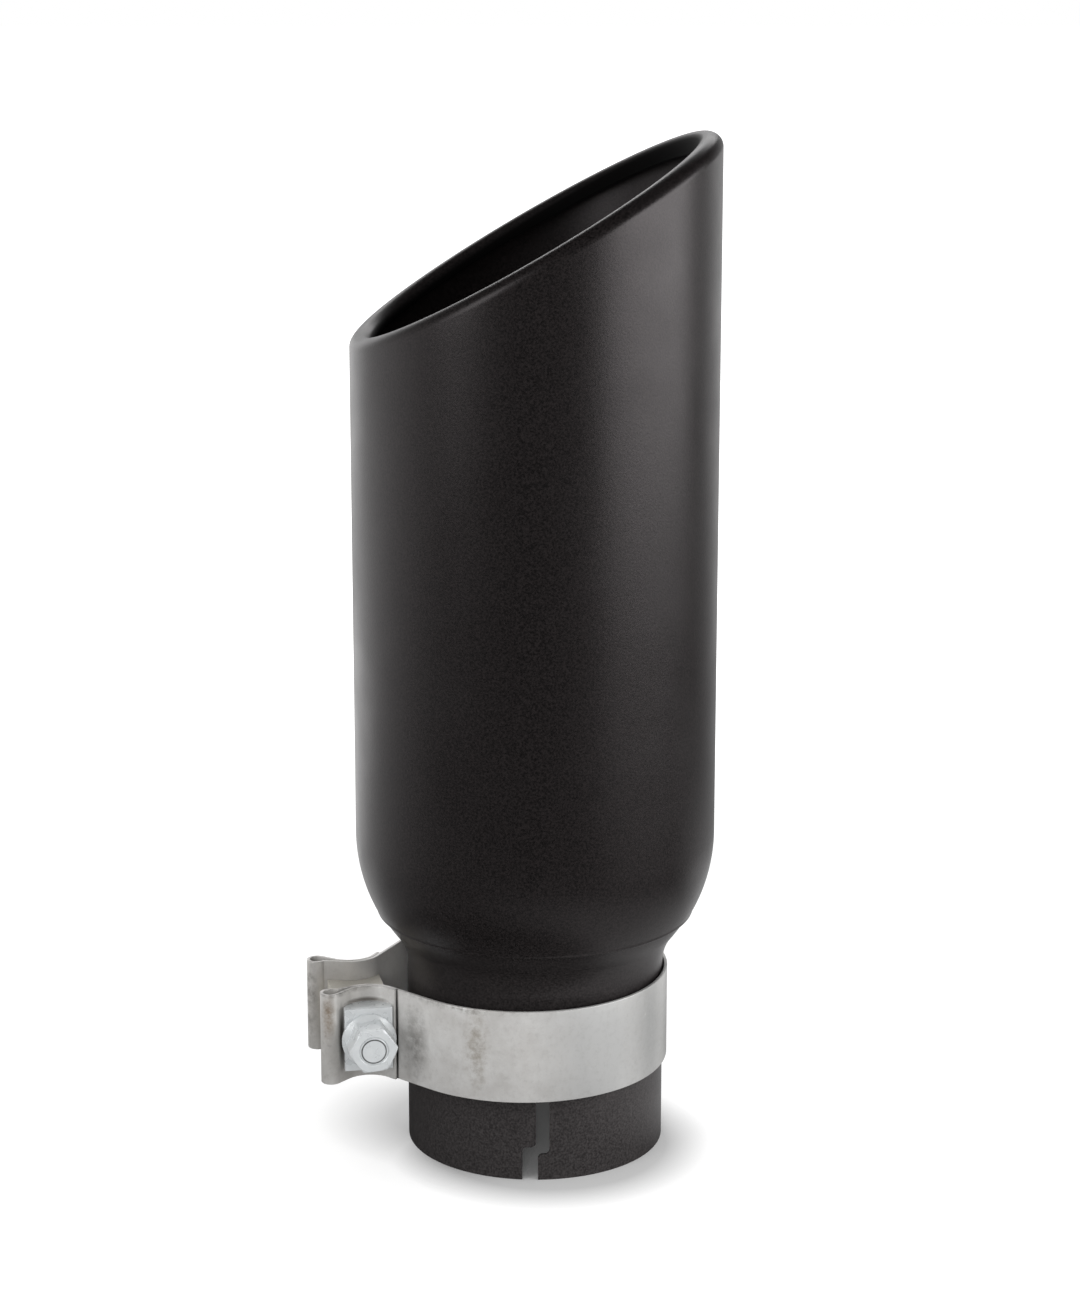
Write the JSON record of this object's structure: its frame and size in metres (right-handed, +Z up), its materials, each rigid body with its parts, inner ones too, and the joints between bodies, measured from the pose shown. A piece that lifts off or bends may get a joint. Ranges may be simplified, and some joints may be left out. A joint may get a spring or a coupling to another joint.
{
  "type": "exhaust tip",
  "caption": "Slash-cut exhaust tip with a rolled-in lip, a necked inlet collar with a stepped slot, and a loose band clamp with bolt and flange nut.",
  "frame": {"origin": "on the tip's axis at the lower rim of the inlet collar, where it stands", "axes": "+Z up the axis to the outlet, +X to the high side of the slash cut, -Y to the side with the slot"},
  "size_m": [0.1454, 0.127, 0.3611],
  "materials": {
    "black_coat": "satin black baked coat",
    "stainless": "mill finish with handling stains",
    "zinc": "bright zinc plate"
  },
  "bodies": {
    "tip": {"outer_shell": "black_coat", "inlet_collar": "black_coat", "clamp_band": "stainless", "ear_spacer": "stainless", "nut_block": "zinc", "head_block": "zinc", "clamp_bolt": "zinc"},
    "nut": {"clamp_nut": "zinc"}
  },
  "joints": [
    {"name": "nut_turn", "type": "hinge", "parent": "tip", "child": "nut", "pos_m": [-0.05825, -0.03409, 0.04825], "axis": [0.1959, -0.9806, 0], "continuous": true}
  ]
}
